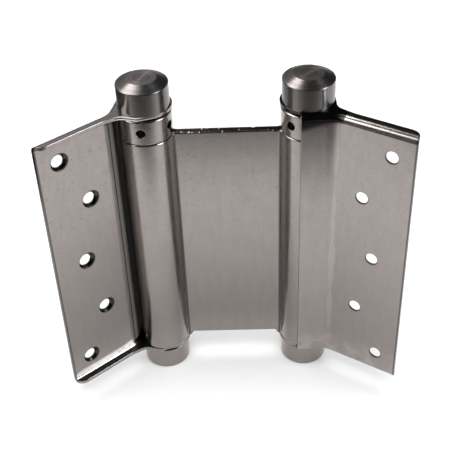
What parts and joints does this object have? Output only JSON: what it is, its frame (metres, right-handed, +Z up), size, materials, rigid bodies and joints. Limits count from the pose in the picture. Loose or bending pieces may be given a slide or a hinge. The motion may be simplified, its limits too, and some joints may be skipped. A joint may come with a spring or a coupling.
{
  "type": "double action spring hinge",
  "caption": "Double action spring hinge: pressed leaves on sprung barrels joined by a folded web, with holed tension collars and turned end plugs.",
  "frame": {"origin": "on the frame leaf's mounting face, midway between its two outer screw holes, at the leaf's mid height", "axes": "+Z up along both pivot axes, +X across the frame leaf's flat towards its outer edge, -Y out of its mounting face"},
  "size_m": [0.0967, 0.072, 0.1178],
  "materials": {
    "plated_sheet": "satin nickel plating on pressed sheet",
    "plated_collar": "satin nickel plating on a turned ring",
    "turned_plug": "turned, with fine concentric marks",
    "turned_steel": "bright drawn rod and turned bush",
    "spring_wire": "oiled spring wire"
  },
  "bodies": {
    "frame_side": {"frame_leaf": "plated_sheet", "frame_top_plug": "turned_plug", "frame_bottom_cap": "turned_plug", "frame_spindle": "turned_steel"},
    "centre": {"centre_web_barrels": "plated_sheet", "frame_spring_anchor": "turned_steel", "door_spring_anchor": "turned_steel", "frame_torsion_spring": "spring_wire", "door_torsion_spring": "spring_wire"},
    "door_side": {"door_leaf": "plated_sheet", "door_top_plug": "turned_plug", "door_bottom_cap": "turned_plug", "door_spindle": "turned_steel"},
    "frame_collar": {"frame_tension_collar": "plated_collar"},
    "door_collar": {"door_tension_collar": "plated_collar"}
  },
  "joints": [
    {"name": "frame_pivot", "type": "hinge", "parent": "frame_side", "child": "centre", "pos_m": [-0.03084, 0.00416, 0], "axis": [0, 0, 1], "range_deg": [-212.5, 56]},
    {"name": "door_pivot", "type": "hinge", "parent": "centre", "child": "door_side", "pos_m": [-0.07403, -0.02335, 0], "axis": [0, 0, 1], "range_deg": [-129.3, 139.2]},
    {"name": "frame_spring_winding", "type": "hinge", "parent": "centre", "child": "frame_collar", "pos_m": [-0.03084, 0.00416, 0], "axis": [0, 0, 1], "range_deg": [-216, 0], "stiffness_Nm_per_rad": 0.189, "deforming": ["frame_torsion_spring"]},
    {"name": "door_spring_winding", "type": "hinge", "parent": "centre", "child": "door_collar", "pos_m": [-0.07403, -0.02335, 0], "axis": [0, 0, 1], "range_deg": [-216, 0], "stiffness_Nm_per_rad": 0.189, "deforming": ["door_torsion_spring"]}
  ]
}
